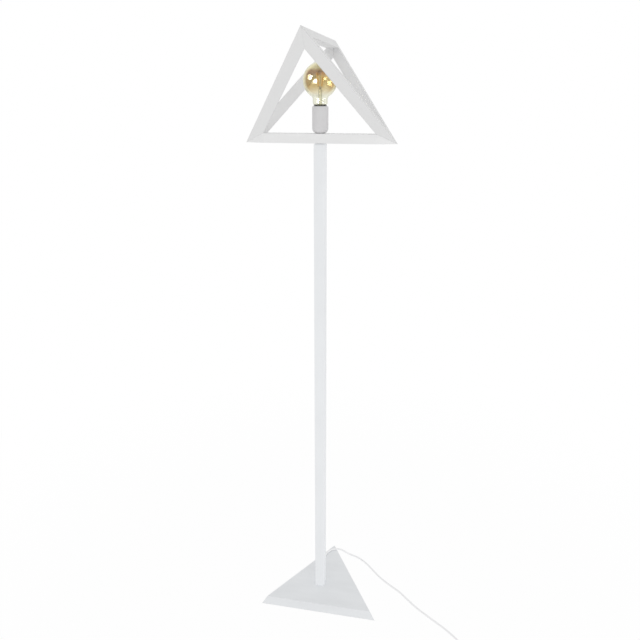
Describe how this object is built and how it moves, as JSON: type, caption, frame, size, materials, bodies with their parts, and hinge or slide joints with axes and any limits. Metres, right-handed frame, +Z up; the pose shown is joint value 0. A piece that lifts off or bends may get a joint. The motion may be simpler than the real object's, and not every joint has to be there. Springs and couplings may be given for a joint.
{
  "type": "floor lamp",
  "caption": "Floor lamp with a triangular foot, a square post and an open tetrahedral frame of mitred bars round a globe bulb, with a cord, a foot switch and a plug.",
  "frame": {"origin": "on the floor, under the middle of the post", "axes": "+X along the frame's bottom bar, -Y the front with the frame's nearer open face, +Z up"},
  "size_m": [0.754, 0.6548, 1.816],
  "materials": {
    "painted_wood": "satin white lacquer on solid wood",
    "bare_wood": "unfinished beech dowel",
    "felt": "grey pressed felt",
    "steel": "zinc-plated steel",
    "brass": "plain brass",
    "painted_cup": "pale grey powder coat",
    "black_plastic": "black moulded plastic",
    "bulb_cap_metal": "nickelled aluminium",
    "amber_glass": "gold-tinted clear glass",
    "clear_glass": "clear glass",
    "filament": "yellow phosphor on thin strips",
    "white_plastic": "white flexible plastic",
    "grey_plastic": "light grey moulded plastic",
    "dark_plastic": "dark moulded plastic"
  },
  "bodies": {
    "lamp": {"base_felt": "felt", "ballast_disc": "steel", "base_block": "painted_wood", "post_bolt": "steel", "foot_insert": "brass", "post": "painted_wood", "post_dowels": "bare_wood", "cord_grommet": "white_plastic", "inner_cable": "white_plastic", "top_insert": "brass", "threaded_tube": "brass", "cup_nut": "brass", "cup_washer": "steel", "bottom_bar": "painted_wood", "front_left_bar": "painted_wood", "front_right_bar": "painted_wood", "rear_left_bar": "painted_wood", "rear_right_bar": "painted_wood", "top_bar": "painted_wood", "frame_dowels": "bare_wood", "socket_cup": "painted_cup", "socket_body": "black_plastic", "screw_shell": "brass", "centre_contact": "brass", "terminal_screws": "steel", "cord_lamp": "white_plastic", "cord_lead": "white_plastic", "cord_coil": "white_plastic", "cord_tail": "white_plastic", "plug_body": "white_plastic", "plug_pins": "brass", "switch_base": "white_plastic", "switch_cover": "white_plastic", "switch_spring": "steel", "switch_block": "dark_plastic", "switch_screws": "steel"},
    "bulb": {"bulb_cap": "bulb_cap_metal", "bulb_insulator": "black_plastic", "bulb_contact": "bulb_cap_metal", "bulb_glass": "amber_glass", "bulb_stem": "clear_glass", "bulb_filaments": "filament", "bulb_wires": "steel"},
    "push_button": {"switch_button": "grey_plastic"}
  },
  "joints": [
    {"name": "bulb_turn", "type": "hinge", "parent": "lamp", "child": "bulb", "pos_m": [0, 0, 1.608], "axis": [0, 0, 1], "range_deg": [0, 720]},
    {"name": "switch_press", "type": "slide", "parent": "lamp", "child": "push_button", "axis": [0, 0, -1], "range_m": [0, 0.003], "stiffness_N_per_m": 1500, "springref_m": -0.002, "deforming": ["switch_spring"]}
  ]
}
